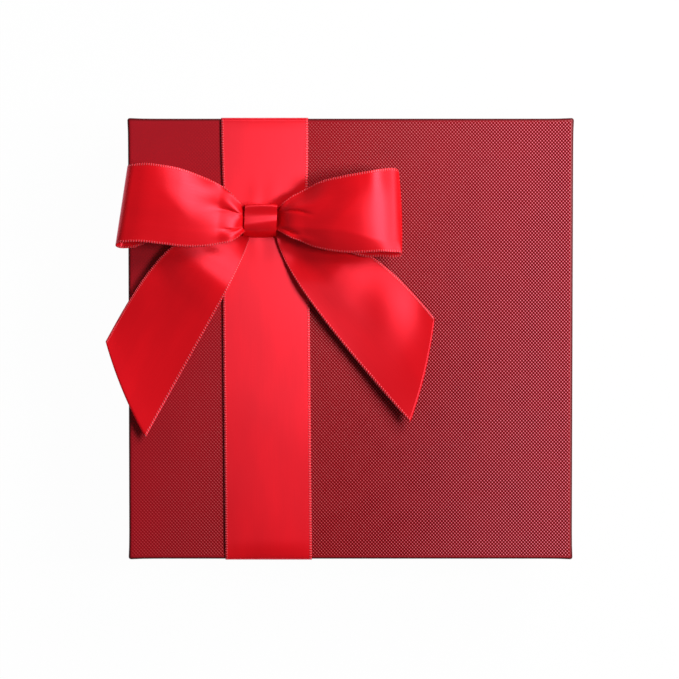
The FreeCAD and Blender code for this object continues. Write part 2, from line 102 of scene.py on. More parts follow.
class PaperSettings(bpy.types.PropertyGroup):
    """Embossed wrapping paper"""

    pitch_across: length("Pitch across", "Distance between dots along the width", 0.94)
    pitch_deep: length("Pitch deep", "Distance between dots along the depth", 1.02)
    relief: length("Relief", "Height of the embossed dots", 0.15)
    corner: length("Corner radius", "Radius of the folded edges and corners", 0.8)
    flare: length("Corner flare", "How far the folded corners stand out", 0.25)
    tint: colour("Paper", "Colour of the wrapping paper", (0.385, 0.006, 0.014))
    # Dot tops: a painted highlight, pinker towards the right where the light falls and duller towards the
    # left
    dot_highlight: colour("Dots", "Colour of the rubbed tops of the dots", (1.0, 0.195, 0.27))
    dim_dot_highlight: colour("Dull dots", "Colour of the tops of the dots towards the left", (0.62, 0.032, 0.05))
    # Painted shade in the hollows between the dots
    hollow_shade: colour("Hollows", "Colour of the hollows between the dots", (0.20, 0.0008, 0.0024))


class SatinSettings(bpy.types.PropertyGroup):
    """Satin ribbon"""

    width: length("Ribbon width", "Width of the ribbon", 25)
    thickness: length("Thickness", "Thickness of the ribbon", 0.22)
    selvage: length("Selvage pitch", "Distance between the edge loops of the weave", 0.72)
    tint: colour("Satin", "Colour of the satin", (0.92, 0.006, 0.012))
    # Selvage loops: their paler pink colour is a painted glint
    bead_and_glint: colour("Selvage", "Colour of the edge loops of the weave", (1.0, 0.20, 0.24))


class BowSettings(bpy.types.PropertyGroup):
    """Bow on the lid"""

    loop_rise: length("Loop rise", "How far a loop's upper layer stands above the waist", 5.8)
    loop_hang: length("Loop hang", "How far the lower layer of a loop rises to its end", 2.6)
    crown: length("Crown", "Drop from the middle of a loop to its edges", 1.2)
    pleat: length("Pleat", "Scale of the pleats beside the knot", 1.0)
    tail_arch: length("Tail arch", "Height of the arch across each tail", 0.5)


class StageSettings(bpy.types.PropertyGroup):
    """Camera and light"""

    distance: length("Camera distance", "From the camera to the lid", 900)
    lean: bpy.props.FloatProperty(
        name="Camera lean",
        description="Lean of the camera towards the back of the box",
        default=np.radians(2.6),
        subtype="ANGLE",
    )
    aim_x: length("Aim", "Point of the lid in the middle of the picture, across", -3.2)
    frame_width: length("Frame width", "Width of the picture at the lid", 195.6)
    key: power("Key light", "Power of the key light", 2.1)
    side: power("Side light", "Power of the light from the right", 2.65)
    fill: share("Fill light", "Strength of the light from all round", 0.12)


def linked(obj):
    """Puts a new object into the scene."""
    bpy.context.scene.collection.objects.link(obj)
    return obj


def quads(grid):
    """The four corners of each cell of a grid of point numbers."""
    cells = [grid[:-1, :-1], grid[:-1, 1:], grid[1:, 1:], grid[1:, :-1]]
    return np.stack(cells, axis=-1).reshape(-1, 4)


def piece(name, points, faces, flat=None, material=None):
    """A smooth mesh from points in millimetres. The flat places of the faces' corners, in millimetres too,
    become the UV map in metres."""
    mesh = bpy.data.meshes.new(name)
    mesh.from_pydata(points * MM, [], faces)
    if flat is not None:
        mesh.uv_layers.new(name="cover")
        mesh.uv_layers["cover"].data.foreach_set("uv", (flat * MM).astype(np.float32).ravel())
    mesh.polygons.foreach_set("use_smooth", np.ones(len(faces), bool))
    mesh.update()
    if material is not None:
        mesh.materials.append(material)
    return linked(bpy.data.objects.new(name, mesh))


def surface(name, points, cover, closed=False, material=None):
    """A piece over a grid of points, rows by columns. The cover grid gives the flat place of each point. A
    closed grid joins its last column to its first, and its cover has one column more."""
    grid = np.arange(points[..., 0].size).reshape(points.shape[:2])
    if closed:
        grid = np.c_[grid, grid[:, 0]]
    flat = cover.reshape(-1, 2)[quads(np.arange(grid.size).reshape(grid.shape))]
    return piece(name, points.reshape(-1, 3), quads(grid).tolist(), flat, material)


def merged(obj, gap=1e-6):
    """Merges the double points of a piece and turns its faces outwards."""
    shape = bmesh.new()
    shape.from_mesh(obj.data)
    bmesh.ops.remove_doubles(shape, verts=shape.verts, dist=gap)
    bmesh.ops.recalc_face_normals(shape, faces=shape.faces)
    shape.to_mesh(obj.data)
    shape.free()
    obj.data.update()
    return obj


def thickened(obj, thickness, offset):
    """Gives a sheet its thickness, to one side or both."""
    wall = obj.modifiers.new("thickness", "SOLIDIFY")
    wall.thickness = thickness
    wall.offset = offset
    return obj


def smooth(low, high, value):
    """Smooth step from 0 at low to 1 at high."""
    part = np.clip((value - low) / (high - low), 0, 1)
    return part * part * (3 - 2 * part)


def hump(value, middle, width):
    """Bell curve of height 1."""
    return np.exp(-(((value - middle) / width) ** 2))


def through(points, value):
    """Smooth curve through a few points, as cubic pieces whose slope at each point comes from the points
    on either side."""
    at, height = np.array(points, float).T
    slope = np.gradient(height, at)
    one = np.clip(np.searchsorted(at, value) - 1, 0, len(at) - 2)
    gap = at[one + 1] - at[one]
    t = np.clip((value - at[one]) / gap, 0, 1)
    ends = height[one] * (1 + 2 * t) * (1 - t) ** 2 + height[one + 1] * t**2 * (3 - 2 * t)
    return ends + gap * (slope[one] * t * (1 - t) ** 2 - slope[one + 1] * t**2 * (1 - t))


def curve_through(points, count):
    """A smooth curve through points of a plane, as the place between them and both coordinates."""
    numbers = np.arange(len(points))
    place = np.linspace(0, numbers[-1], count)
    return place, *(through(np.c_[numbers, part], place) for part in np.array(points, float).T)


def columns(*parts):
    """Arrays side by side along a new last axis, each spread to the shape of them all."""
    return np.stack(np.broadcast_arrays(*parts), axis=-1)


def run_along(points):
    """The length of the way to each point of a path."""
    return np.concatenate([[0], np.cumsum(np.linalg.norm(np.diff(points, axis=0), axis=1))])


def laid_flat(points, across):
    """The points of a ribbon, the flat place of each and the length of its middle line."""
    run = run_along(points[:, points.shape[1] // 2])
    return points, columns(across, run[:, None]), run[-1]


def eased(values, wide):
    """A curve's values averaged over their neighbours with a bell of weights. Both ends keep their
    place."""
    ahead = 2 * values[0] - values[wide:0:-1]
    behind = 2 * values[-1] - values[-2:-wide - 2:-1]
    weights = np.hanning(2 * wide + 3)[1:-1]
    return np.convolve(np.concatenate([ahead, values, behind]), weights / weights.sum(), "valid")


def bezier(points, along):
    """Cubic Bezier curve through its first and last points, at each share of the way."""
    p = np.array(points, float)
    t = along[..., None]
    return p[0] * (1 - t) ** 3 + 3 * p[1] * t * (1 - t) ** 2 + 3 * p[2] * t**2 * (1 - t) + p[3] * t**3


def seen_from_above(points, settings):
    """Draws points in towards the middle of the picture by their height, so that an outline given on
    the plane of the lid is what the camera sees of the raised piece."""
    middle = np.array([settings.aim_x / MM, 0.0])
    height = points[..., 2:3] - lid_high[2] / MM
    pull = 1 - height / (settings.distance / MM)
    plan = middle + (points[..., :2] - middle) * pull
    return np.concatenate([plan, points[..., 2:3]], axis=-1)


class Nodes:
    """The node tree of a new material or world, with short calls for its maths."""

    def __init__(self, name, shader="BsdfPrincipled", kind="Material"):
        self.owner = getattr(bpy.data, f"{kind.lower()}s").new(name)
        self.owner.use_nodes = True
        self.tree = self.owner.node_tree
        self.tree.nodes.clear()
        self.shader = self.add(shader)
        self.put(self.shader.outputs[0], self.add(f"Output{kind}").inputs[0])

    def put(self, value, socket):
        if isinstance(value, bpy.types.NodeSocket):
            self.tree.links.new(value, socket)
        else:
            socket.default_value = value

    def fill(self, node, sockets):
        for name, value in sockets.items():
            self.put(value, node.inputs[name.replace("_", " ").title().replace("Ior", "IOR")])
        return node

    def add(self, kind, **sockets):
        return self.fill(self.tree.nodes.new(f"ShaderNode{kind}"), sockets)

    def feed(self, node, *values):
        for value, socket in zip(values, node.inputs):
            self.put(value, socket)
        return node.outputs[0]

    def maths(self, operation, *values):
        node = self.add("Math")
        node.operation = operation
        return self.feed(node, *values)

    def times(self, first, second):
        return self.maths("MULTIPLY", first, second)

    def step(self, value, low, high, bottom=0.0, top=1.0, curve="SMOOTHSTEP"):
        node = self.add("MapRange", value=value, from_min=low, from_max=high, to_min=bottom, to_max=top)
        node.interpolation_type = curve
        return node.outputs[0]

    def cover(self):
        node = self.add("UVMap")
        node.uv_map = "cover"
        return node.outputs["UV"]

    def place(self):
        return self.add("TexCoord").outputs["Object"]

    def parts(self, vector):
        return self.add("SeparateXYZ", vector=vector).outputs

    def stretch(self, vector, scale):
        return self.add("Mapping", vector=vector, scale=scale).outputs[0]

    def noise(self, vector, scale, detail=2.0, rough=0.5):
        node = self.add("TexNoise", vector=vector, scale=scale, detail=detail, roughness=rough)
        return node.outputs["Fac"]

    def blend(self, factor, first, second):
        node = self.add("Mix")
        node.data_type = "RGBA"
        self.put(factor, node.inputs["Factor"])
        for value, socket in ((first, node.inputs[6]), (second, node.inputs[7])):
            self.put((*value, 1) if isinstance(value, tuple) else value, socket)
        return node.outputs[2]

    def mottled(self, noise, dark, light):
        return self.blend(self.step(noise, 0.3, 0.7), dark, light)

    def bump(self, height, distance, **below):
        return self.add("Bump", strength=1.0, distance=distance, height=height, **below).outputs[0]

    def finish(self, **sockets):
        self.fill(self.shader, sockets)
        return self.owner


def tone(base, factor):
    """A colour made lighter or darker."""
    return tuple(min(1.0, part * factor) for part in base)


def embossed_paper(name, settings, size):
    """Dyed paper embossed all over with a checker of small domes, cos of one direction times cos of the
    other, with a painted highlight on their tops, pinker towards the right where the light falls, and
    painted shade in the hollows between them. The relief dies away along the folded edges, where the paper
    is pulled tight and painted darker as shade along the folds and the rim, and on the panel gets shallower
    towards the back left corner, where the painted highlight and shade of the dots fade with it."""
    nodes = Nodes(name)
    cover = nodes.cover()
    across, deep, _ = nodes.parts(cover)
    waves = [
        nodes.maths("COSINE", nodes.times(part, 2 * np.pi / pitch))
        for part, pitch in ((across, settings.pitch_across), (deep, settings.pitch_deep))
    ]
    dots = nodes.times(*waves)
    beyond = [
        nodes.maths("SUBTRACT", nodes.maths("ABSOLUTE", part), edge / 2)
        for part, edge in ((across, size[0]), (deep, size[1]))
    ]
    outside = nodes.maths("MAXIMUM", *beyond)
    rim = nodes.maths("ABSOLUTE", nodes.maths("SUBTRACT", outside, size[2] - 0.7 * MM))
    fold = nodes.maths("MINIMUM", *[nodes.maths("ABSOLUTE", part) for part in beyond])
    fold = nodes.maths("MINIMUM", fold, rim)
    tight = nodes.step(fold, 0.5 * MM, 1.3 * MM)
    wear = nodes.step(nodes.noise(cover, 160, 4), 0.3, 0.75, 0.85, 1.0)
    # Ramp across the panel, low towards the back left: it makes the relief shallower there and fades the
    # painted dot highlights and hollow shade away from the light
    slope = nodes.maths("SUBTRACT", across, nodes.times(deep, 0.45))
    relief_and_light_ramp = nodes.step(slope, -78 * MM, 38 * MM, curve="LINEAR")
    wall = nodes.step(outside, 0.5 * MM, 3.0 * MM, 0.0, 0.8)
    even = nodes.maths("MAXIMUM", relief_and_light_ramp, wall)
    # The depth sets both the relief and how strongly the painted dot highlights and hollow shade show
    depth = nodes.times(nodes.times(even, wear), tight)
    relief = nodes.times(dots, depth)
    fibre = nodes.noise(cover, 5200, 3, 0.6)
    cloud = nodes.mottled(nodes.noise(cover, 45, 3), tone(settings.tint, 0.96), tone(settings.tint, 1.04))
    # Painted shade: the paper's colour drops to a quarter along the folded edges and in a line at the rim,
    # where shade falls
    painted_fold_shade = nodes.step(fold, 0.15 * MM, 1.0 * MM)
    cloud = nodes.blend(painted_fold_shade, tone(settings.tint, 0.25), cloud)
    # Painted highlight on the dot tops, blended from the duller colour on the left to the pinker one on the
    # right, where the light falls
    top = nodes.blend(nodes.step(across, -18 * MM, 60 * MM), tuple(settings.dim_dot_highlight), tuple(settings.dot_highlight))
    peak = nodes.step(dots, -0.1, 0.95)
    # Colour of the dots: painted shade in the hollows rising to the painted highlight on the tops
    highlit = nodes.blend(peak, tuple(settings.hollow_shade), top)
    body = nodes.blend(depth, cloud, highlit)
    raised = nodes.maths("SUBTRACT", peak, 0.5)
    gloss = nodes.maths("MULTIPLY_ADD", raised, nodes.times(depth, 0.5), 0.25)
    rough = nodes.step(fibre, 0.2, 0.8, 0.32, 0.42)
    grain = nodes.bump(fibre, 0.006 * MM)
    normal = nodes.bump(relief, settings.relief, normal=grain)
    return nodes.finish(base_color=body, roughness=rough, normal=normal, specular_ior_level=gloss)


def satin(settings):
    """Warp-faced satin: fine yarns along the ribbon, so gloss spreads across it, and a selvage of small
    weft loops along both edges, bumped and painted paler pink as a glint."""
    nodes = Nodes("red_satin")
    cover = nodes.cover()
    across, along, _ = nodes.parts(cover)
    edge = settings.width / 2
    yarns = nodes.maths("SINE", nodes.times(across, 2 * np.pi / (0.30 * MM)))
    streak = nodes.noise(nodes.stretch(cover, (2600, 90, 1)), 1.0, 3, 0.55)
    cloud = nodes.noise(nodes.stretch(cover, (90, 30, 1)), 1.0, 2)
    rim = nodes.step(nodes.maths("ABSOLUTE", across), edge - 0.80 * MM, edge - 0.55 * MM)
    loops = nodes.maths("SINE", nodes.times(along, 2 * np.pi / settings.selvage))
    bead_and_glint = nodes.times(nodes.step(loops, -0.3, 0.7), rim)
    body = nodes.mottled(cloud, tone(settings.tint, 0.93), tone(settings.tint, 1.04))
    body = nodes.blend(nodes.step(streak, 0.35, 0.75, 0.0, 0.15), body, tone(settings.tint, 0.86))
    # Painted glint: the selvage loops are mixed halfway to a pale pink
    body = nodes.blend(nodes.times(bead_and_glint, 0.5), body, tuple(settings.bead_and_glint))
    weave = nodes.maths("ADD", nodes.times(yarns, 0.5), streak)
    fine = nodes.bump(weave, 0.002 * MM)
    tangent = nodes.add("Tangent")
    tangent.direction_type = "UV_MAP"
    tangent.uv_map = "cover"
    return nodes.finish(
        base_color=body,
        roughness=nodes.step(streak, 0.25, 0.8, 0.44, 0.48),
        normal=nodes.bump(bead_and_glint, 0.12 * MM, normal=fine),
        tangent=tangent.outputs[0],
        metallic=0.26,
        specular_ior_level=0.49,
        specular_tint=(1.0, 0.66, 1.0, 1.0),
        anisotropic=0.93,
    )


def plain_paper(name, dark, light, scale, rough, relief):
    """Uncoated stock: two tones of fibre cloud on a fine grain, its relief in millimetres."""
    nodes = Nodes(name)
    place = nodes.place()
    cloud = nodes.noise(place, scale, 5, 0.6)
    flecks = nodes.noise(place, scale * 14, 2, 0.7)
    body = nodes.mottled(cloud, dark, light)
    body = nodes.blend(nodes.step(flecks, 0.62, 0.8, 0.0, 0.4), body, tone(dark, 0.75))
    normal = nodes.bump(nodes.maths("ADD", cloud, flecks), relief * MM)
    return nodes.finish(
        base_color=body, roughness=nodes.step(flecks, 0.2, 0.8, rough - 0.08, rough + 0.08), normal=normal
    )


def cup_paper():
    """Glazed brown cup paper with fine fibre, some of it paler."""
    nodes = Nodes("brown_cup_paper")
    place = nodes.place()
    fibre = nodes.noise(nodes.stretch(place, (1, 1, 0.25)), 1400, 4, 0.6)
    body = nodes.mottled(nodes.noise(place, 120, 3), (0.050, 0.019, 0.010), (0.075, 0.031, 0.017))
    body = nodes.blend(nodes.step(fibre, 0.6, 0.85, 0.0, 0.5), body, (0.12, 0.055, 0.033))
    return nodes.finish(
        base_color=body,
        roughness=nodes.step(fibre, 0.2, 0.8, 0.38, 0.55),
        normal=nodes.bump(fibre, 0.01 * MM),
    )


def chocolate(name, dark, light):
    """Tempered chocolate: an even sheen with faint bloom and tiny pits."""
    nodes = Nodes(name)
    place = nodes.place()
    swirl = nodes.noise(place, 110, 4, 0.55)
    pits = nodes.noise(place, 1500, 2, 0.6)
    body = nodes.mottled(swirl, dark, light)
    bloom = nodes.step(nodes.noise(place, 320, 5, 0.65), 0.55, 0.85, 0.0, 0.25)
    body = nodes.blend(bloom, body, tone(light, 1.5))
    return nodes.finish(
        base_color=body,
        roughness=nodes.step(swirl, 0.25, 0.8, 0.26, 0.40),
        normal=nodes.bump(pits, 0.012 * MM),
    )


RIM_POWER = 0.6  # how square paper and ribbon turn round a rim
# The paper, in millimetres: its thickness, its two faces of a wall apart, its turn-in and its corner flare
PAPER_THICK, PAPER_WALL, PAPER_TURN, FLARE_REACH = 0.25, 2.2, 12.0, 2.4


def rolled_rim():
    """Half a superellipse: from 1 inside to -1 outside, and from 1 down to 0 at the rim and up again."""
    turn = np.linspace(0, np.pi, 13)
    lap = np.sign(np.cos(turn)) * np.abs(np.cos(turn)) ** RIM_POWER
    return lap, 1 - np.sin(turn) ** RIM_POWER


def folded_paper(name, low, high, rim, closed_up, settings, material):
    """Paper folded over a tray, as four strips that meet at the corners. Each strip is one side's
    profile, from the inner turn-in round the rim, along the wall and over the closed edge, carried along
    that side. A lid's middle is one flat panel, and a tray's is left open, under its bottom sheet. The
    corners stand out a little, where the folds lie double. The cover is the sheet laid flat."""
    half = (high[:2] - low[:2]) / 2 / MM
    radius, half_wall = settings.corner / MM, PAPER_WALL / 2
    up = 1.0 if closed_up else -1.0
    panel, lip = (high[2] if closed_up else low[2]) / MM, rim / MM
    bend = np.linspace(0, np.pi / 2, 7)
    lap, drop = rolled_rim()
    ledge = np.array([1.6, 3.0, 6.0] if closed_up else [1.6, 6.0, 14.0])
    inset = np.concatenate([
        [PAPER_WALL, PAPER_WALL], half_wall * (1 + lap), [0, 0, 0], radius * (1 - np.cos(bend)), ledge,
    ])
    height = np.concatenate([
        [lip + up * PAPER_TURN, lip + up * (half_wall + 0.5)], lip + up * half_wall * drop,
        lip + (panel - lip) * np.array([0.3, 0.6, 0.85]), panel - up * radius * (1 - np.sin(bend)),
        0 * ledge + panel,
    ])
    run = run_along(columns(inset, height))
    left = run[-1] - run
    angle = np.linspace(np.pi / 4, 0, 5)
    straight = np.linspace(-1, 1, 41)[1:-1]
    dip = radius * (1 - np.cos(angle))
    bow = np.concatenate([dip, 0 * straight, dip[::-1]])
    points, flats = [], []
    for side in range(4):
        across, out = half if side % 2 == 0 else half[::-1]
        end = across - radius + radius * np.sin(angle)
        along = np.concatenate([-end, (across - radius) * straight, end[::-1]])
        x = along[None, :] * (1 - inset[:, None] / end[0])
        y = -(out - inset[:, None] - bow[None, :])
        reach = bow[None, :] - (out - ledge[-1]) - left[:, None]
        cos, sin = ((1, 0), (0, 1), (-1, 0), (0, -1))[side]
        points.append(columns(x * cos - y * sin, x * sin + y * cos, height[:, None]))
        flats.append(columns(x * cos - reach * sin, x * sin + reach * cos))
    points, flats = np.concatenate(points).reshape(-1, 3), np.concatenate(flats).reshape(-1, 2)
    grids = np.arange(len(points)).reshape(4, len(inset), len(bow))
    faces = np.concatenate([quads(grid) for grid in grids]).tolist()
    if closed_up:
        faces.append(grids[:, -1, :-1].ravel().tolist())
    near = np.exp(-np.abs(half - np.abs(points[:, :2])) / FLARE_REACH).prod(axis=1)
    tall = smooth(0.25, 1.0, (points[:, 2] - lip) / (panel - lip))
    points[:, :2] += np.sign(points[:, :2]) * (settings.flare / MM * near * tall)[:, None]
    obj = merged(piece(name, points, faces, flats[np.concatenate(faces)], material))
    return thickened(obj, PAPER_THICK * MM, -1)


class BOX_OT_wrap_papers(bpy.types.Operator):
    """Wraps the lid and the tray in embossed paper"""

    bl_idname = "chocolate_box.wrap_papers"
    bl_label = "Wrap papers"

    def execute(self, context):
        settings = context.scene.box_paper
        for body, low, high in (("lid", lid_low, lid_high), ("base", base_low, base_high)):
            skin = embossed_paper(f"{body}_embossed_paper", settings, high - low)
            rim = low[2] if body == "lid" else high[2]
            obj = folded_paper(f"{body}_paper", low, high, rim, body == "lid", settings, skin)
            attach(obj, body)
            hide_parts(f"{body}_wrap")
        return {"FINISHED"}


def dress(obj, material):
    """Gives a CAD node its finish."""
    obj.data.materials.clear()
    obj.data.materials.append(material)


def dress_all(word, material):
    """Gives each CAD node with this word in its name its finish."""
    for name, obj in frame["nodes"].items():
        if word in name:
            dress(obj, material)


def ribbon_piece(name, node, points, cover, flat, held, rests_on):
    """Makes a length of satin ribbon, puts it on the lid and hides the CAD node it stands for. Its flat
    size, how it is held and what it rests on are not used.
    """
    obj = surface(name, points, cover, material=red_satin())
    thickened(obj, bpy.context.scene.box_satin.thickness, 0)
    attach(obj, "lid")
    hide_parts(node)


def bow_pieces(scene, kind, forms, shape, rests_on):
    """Makes the left and the right piece of one kind of the bow."""
    width = scene.box_satin.width
    for side, form in forms.items():
        points, cover, run = shape(form, scene.box_bow, width / MM)
        points = seen_from_above(points, scene.box_stage)
        names, flat = (f"satin_{kind}_{side}", f"bow_{side}_{kind}"), (width, run * MM)
        ribbon_piece(*names, points, cover, flat, "gathered", rests_on)


def red_satin():
    """The one satin material, made when the first piece asks for it."""
    found = bpy.data.materials.get("red_satin")
    return found if found is not None else satin(bpy.context.scene.box_satin)


class BOX_OT_lay_band(bpy.types.Operator):
    """Lays the ribbon over the lid, with its ends tucked in under the rim"""

    bl_idname = "chocolate_box.lay_band"
    bl_label = "Lay ribbon band"

    def execute(self, context):
        width = context.scene.box_satin.width
        points, cover, run = band_surface(width / MM)
        flat = (width, run * MM)
        ribbon_piece("satin_band", "ribbon_band", points, cover, flat, "stretched", ["lid_wrap"])
        return {"FINISHED"}


# The band, in millimetres: its middle layer inside the CAD band's box, its turn round the rim, its tucked
# ends, its bend over the lid's edge, where its middle line lies, how slack it is and the height of its
# folds. Then the slope of its middle line and the share it is pinched by at the knot.
BAND_INSET, BAND_TURN, BAND_TUCK, BAND_BEND = 0.14, 2.53, 9.0, 0.9
BAND_MIDDLE, BAND_SLACK, BAND_FOLD = -24.2, 0.85, 0.32
BAND_WANDER, BAND_PINCH = -0.0082, 0.045


def band_surface(width):
    """A strip whose path is the lid's section: up inside the front wall, round the rim, up the skirt, over
    the top and down the same way at the back. It lies slack, a little higher along its middle, with folds
    and a pinch beside the knot and a slow wander of its middle line from end to end."""
    low, high = band_low / MM + BAND_INSET, band_high / MM - BAND_INSET
    top, rim, out = high[2], low[2], high[1]
    half_rim, ledge = BAND_TURN / 2, out - BAND_BEND - 0.7
    turn = np.linspace(0, np.pi / 2, 8)
    lap, drop = rolled_rim()
    front = np.concatenate([
        columns(out - BAND_TURN, np.linspace(rim + BAND_TUCK, rim + half_rim + 0.4, 4)),
        columns(out - half_rim * (1 + lap), rim + half_rim * drop),
        columns(out, np.linspace(rim + half_rim + 1, top - BAND_BEND - 0.6, 6)),
        columns(out - BAND_BEND * (1 - np.cos(turn)), top - BAND_BEND * (1 - np.sin(turn))),
    ])
    over = columns(np.linspace(ledge, -ledge, 120), top)
    back = front[::-1] * np.array([-1, 1])
    path = np.concatenate([front, over, back])[::-1]
    run = run_along(path)
    across = np.linspace(-1, 1, 41)[None, :]
    y, z = path[:, :1], path[:, 1:]
    knot_y = knot_mid[1] / MM
    wander, pinch = BAND_WANDER * y, BAND_PINCH * hump(y, knot_y, 14.0)
    x = BAND_MIDDLE + wander + width / 2 * across * (1 - pinch)
    on_top = smooth(top - 1.2, top - 0.05, z)
    beside = hump(y, knot_y + 5.0, 5.0) + 0.6 * hump(y, knot_y - 5.0, 5.0)
    ridges = hump(across, -0.26, 0.15) + 0.8 * hump(across, 0.14, 0.17)
    fold = BAND_FOLD * on_top * beside * ridges
    wave = 0.012 * on_top * (1 + np.sin(y * 0.21 + 1.3 * across))
    front_way = np.clip((out + y) / 6.0, 0, 1)
    slack = BAND_SLACK * (1 - (1 - front_way) ** 2.4) * (1 - 0.12 * smooth(3.0, 0.3, out - y))
    slack = slack * (1 - 0.65 * across**2) * on_top
    points = columns(x, y, z + fold + wave + slack)
    return points, columns(width / 2 * across, run[:, None]), run[-1]


# Each loop's edges and rise, in millimetres and shares, by share of the way out from the knot. Slant and
# curve shape its end, and tuck lowers its back edge beside the knot. A swell is where it starts at the
# front and at the back, half its length and its climb. A slip is how far the lower layer moves and over
# which part of the way. A bend is the drop of the front edge, the line where it starts and how that turns.
# A pleat is its place across, drift, width, place along, length and height.
LOOPS = {
    "left": {
        "side": -1, "reach": 33.7, "slant": -1.75, "curve": 0.0, "tuck": 2.4,
        "upper": (
            (0, 3.4), (0.06, 5.8), (0.15, 9.0), (0.24, 10.9), (0.42, 13.7), (0.60, 15.85), (0.78, 17.0),
            (0.90, 17.45), (1, 17.2),
        ),
        "lower": (
            (0, -2.1), (0.04, -3.2), (0.09, -4.6), (0.22, -5.95), (0.38, -6.7), (0.54, -6.6), (0.70, -5.9),
            (0.87, -5.25), (1, -5.35),
        ),
        "rise": (
            (0, -0.22), (0.10, 0.21), (0.25, 0.39), (0.45, 0.55), (0.60, 0.68), (0.75, 0.76), (0.90, 0.77),
            (1, 0.68),
        ),
        "swell": (0.20, 0.52, 0.30, 2.1), "slip": (2.0, 0.70, 0.95), "bend": (0.6, -0.56, 0.0),
        "pleats": (
            (0.68, -0.50, 0.20, 0.17, 0.12, 0.7), (0.36, -0.75, 0.08, 0.15, 0.13, -0.5),
            (-0.56, 0.30, 0.06, 0.10, 0.08, -0.9), (-0.80, 0.20, 0.12, 0.10, 0.12, 0.5),
            (0.25, 0.0, 0.55, 0.04, 0.07, 0.8),
        ),
    },
    "right": {
        "side": 1, "reach": 34.0, "slant": -0.45, "curve": 0.45, "tuck": 4.0,
        "upper": (
            (0, 3.5), (0.06, 5.6), (0.13, 7.4), (0.26, 9.7), (0.38, 11.9), (0.55, 13.5), (0.73, 14.7),
            (0.88, 15.5), (1, 15.85),
        ),
        "lower": (
            (0, -2.0), (0.05, -2.8), (0.12, -4.1), (0.20, -5.15), (0.29, -6.5), (0.42, -7.7), (0.60, -8.45),
            (0.75, -8.4), (0.88, -8.2), (1, -8.35),
        ),
        "rise": (
            (0, -0.18), (0.10, 0.39), (0.25, 0.66), (0.45, 0.86), (0.60, 0.92), (0.75, 0.84), (0.90, 0.60),
            (1, 0.34),
        ),
        "swell": (0.36, 0.60, 0.13, 1.0), "slip": (1.6, 0.50, 0.80), "bend": (2.4, -0.38, -0.35),
        "pleats": (
            (0.85, 0.0, 0.16, 0.07, 0.07, 0.6), (0.52, -1.45, 0.07, 0.17, 0.10, -0.7),
            (0.74, -1.2, 0.15, 0.15, 0.10, 0.5), (-0.72, 0.0, 0.12, 0.12, 0.06, -1.1),
            (-0.84, 0.0, 0.16, 0.27, 0.08, 0.5), (0.95, 0.0, 0.50, 0.84, 0.10, 0.45),
        ),
    },
}


# In millimetres: where the loops start beside the knot's middle, the heights at which their upper and lower
# layers leave it, and how far the fold at the end swings out
LOOP_START, LOOP_TOP, LOOP_FOOT, FOLD_SWING = 4.2, 38.0, 35.7, 3.0


def loop_path(form, bow):
    """Side view of a loop as distance from the knot and height. The upper layer is a smooth curve through
    a few heights, the lower one a shallow parabola, and a tight Bezier fold joins them. Also given are
    the share of the way out and how far round to the lower layer each point is."""
    way = np.linspace(0, 1, 110)
    reach = LOOP_START + form["reach"] * way
    upper = columns(reach, LOOP_TOP + bow.loop_rise / MM * through(form["rise"], way))
    lower = columns(reach, LOOP_FOOT + bow.loop_hang / MM * way**2)[::-1]
    up_end, low_end = (
        end + FOLD_SWING * (end - before) / np.linalg.norm(end - before)
        for end, before in ((upper[-1], upper[-2]), (lower[0], lower[1]))
    )
    round_way = np.linspace(0, 1, 30)[1:-1]
    fold = bezier((upper[-1], up_end, low_end, lower[0]), round_way)
    path = np.concatenate([upper, fold, lower])
    out = np.concatenate([way, 0 * round_way + 1, way[::-1]])
    below = np.concatenate([0 * way, smooth(0, 1, round_way), 0 * way + 1])
    return path, out[:, None], below[:, None]


def loop_surface(form, bow, width):
    """A loop of ribbon along its side view. Each edge leaves the knot on a rounded curve of its own, the
    lower layer slips a little to the front at the fold, the section is crowned, the upper layer climbs
    later at the back than at the front and its back edge lies low beside the knot, and pleats run out
    from the knot, each a bell curve across times one along."""
    across = np.linspace(-1, 1, 81)[None, :]
    path, out, below = loop_path(form, bow)
    upper, lower = through(form["upper"], out), through(form["lower"], out)
    slide, start, full = form["slip"]
    slip = slide * below * smooth(start, full, out)
    narrow = 1 - 0.07 * below * (1 - smooth(start, full, out))
    y = knot_mid[1] / MM + (upper + lower) / 2 + (upper - lower) / 2 * across * narrow - slip
    x = path[:, :1] + out * (form["slant"] * across - form["curve"] * across**2)
    x = knot_mid[0] / MM + form["side"] * x
    facing = 1 - 2 * below
    crown = bow.crown / MM * smooth(0.0, 0.5, out) * (1 - 0.6 * smooth(0.6, 1.0, out))
    tuck = form["tuck"] * (1 - below) * hump(out, 0.22, 0.17) * smooth(0.0, 0.12, out)
    z = path[:, 1:] - facing * crown * np.abs(across) ** 2.2 - tuck * smooth(0.35, 1.0, across)
    near, far, half, climb = form["swell"]
    middle = near + (far - near) * smooth(-0.4, 0.6, across)
    raised = climb * smooth(-1, 1, (out - middle) / half)
    drop, line, turn = form["bend"]
    line = line + turn * smooth(0.50, 0.95, out)
    bend = drop * np.clip((line - across) / 0.62, 0, 1) ** 1.3
    raised = raised - bend * smooth(0.04, 0.3, out) * (1 - 0.5 * smooth(0.8, 1.0, out))
    for place, drift, wide, at, long, tall in form["pleats"]:
        fade = hump(out, at, long) * smooth(0.0, 0.05, out)
        raised = raised + bow.pleat * tall / MM * hump(across, place + drift * out, wide) * fade
    z = z + (1 - below) * raised
    return laid_flat(columns(x, y, z), width / 2 * across)


class BOX_OT_shape_loops(bpy.types.Operator):
    """Shapes the two loops of the bow"""

    bl_idname = "chocolate_box.shape_loops"
    bl_label = "Shape bow loops"

    def execute(self, context):
        bow_pieces(context.scene, "loop", LOOPS, loop_surface, ["bow_knot"])
        return {"FINISHED"}


